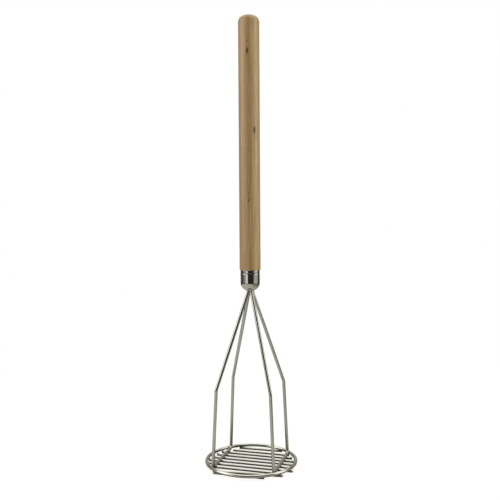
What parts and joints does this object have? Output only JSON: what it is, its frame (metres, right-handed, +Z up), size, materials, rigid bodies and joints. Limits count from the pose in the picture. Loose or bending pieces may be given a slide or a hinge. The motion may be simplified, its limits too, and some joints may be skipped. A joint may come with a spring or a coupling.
{
  "type": "potato masher",
  "caption": "Long-handled hand masher: a round wire face with parallel bars, held by bent frame wires in a ferrule on a straight wooden handle.",
  "frame": {"origin": "on the surface that the mashing bars stand on, under the middle of the round face", "axes": "+Z up along the handle to its end, +X along the mashing bars, +Y across them"},
  "size_m": [0.127, 0.127, 0.608],
  "materials": {
    "handle_wood": "sanded, thinly sealed, satin",
    "plated_steel": "bright nickel plating, polished"
  },
  "bodies": {
    "root": {"handle": "handle_wood", "ferrule": "plated_steel", "frame_wire_left": "plated_steel", "frame_wire_right": "plated_steel", "face_ring": "plated_steel", "mash_bar_1": "plated_steel", "mash_bar_2": "plated_steel", "mash_bar_3": "plated_steel", "mash_bar_4": "plated_steel", "mash_bar_5": "plated_steel", "mash_bar_6": "plated_steel", "mash_bar_7": "plated_steel", "mash_bar_8": "plated_steel", "mash_bar_9": "plated_steel", "mash_bar_10": "plated_steel"}
  },
  "joints": []
}
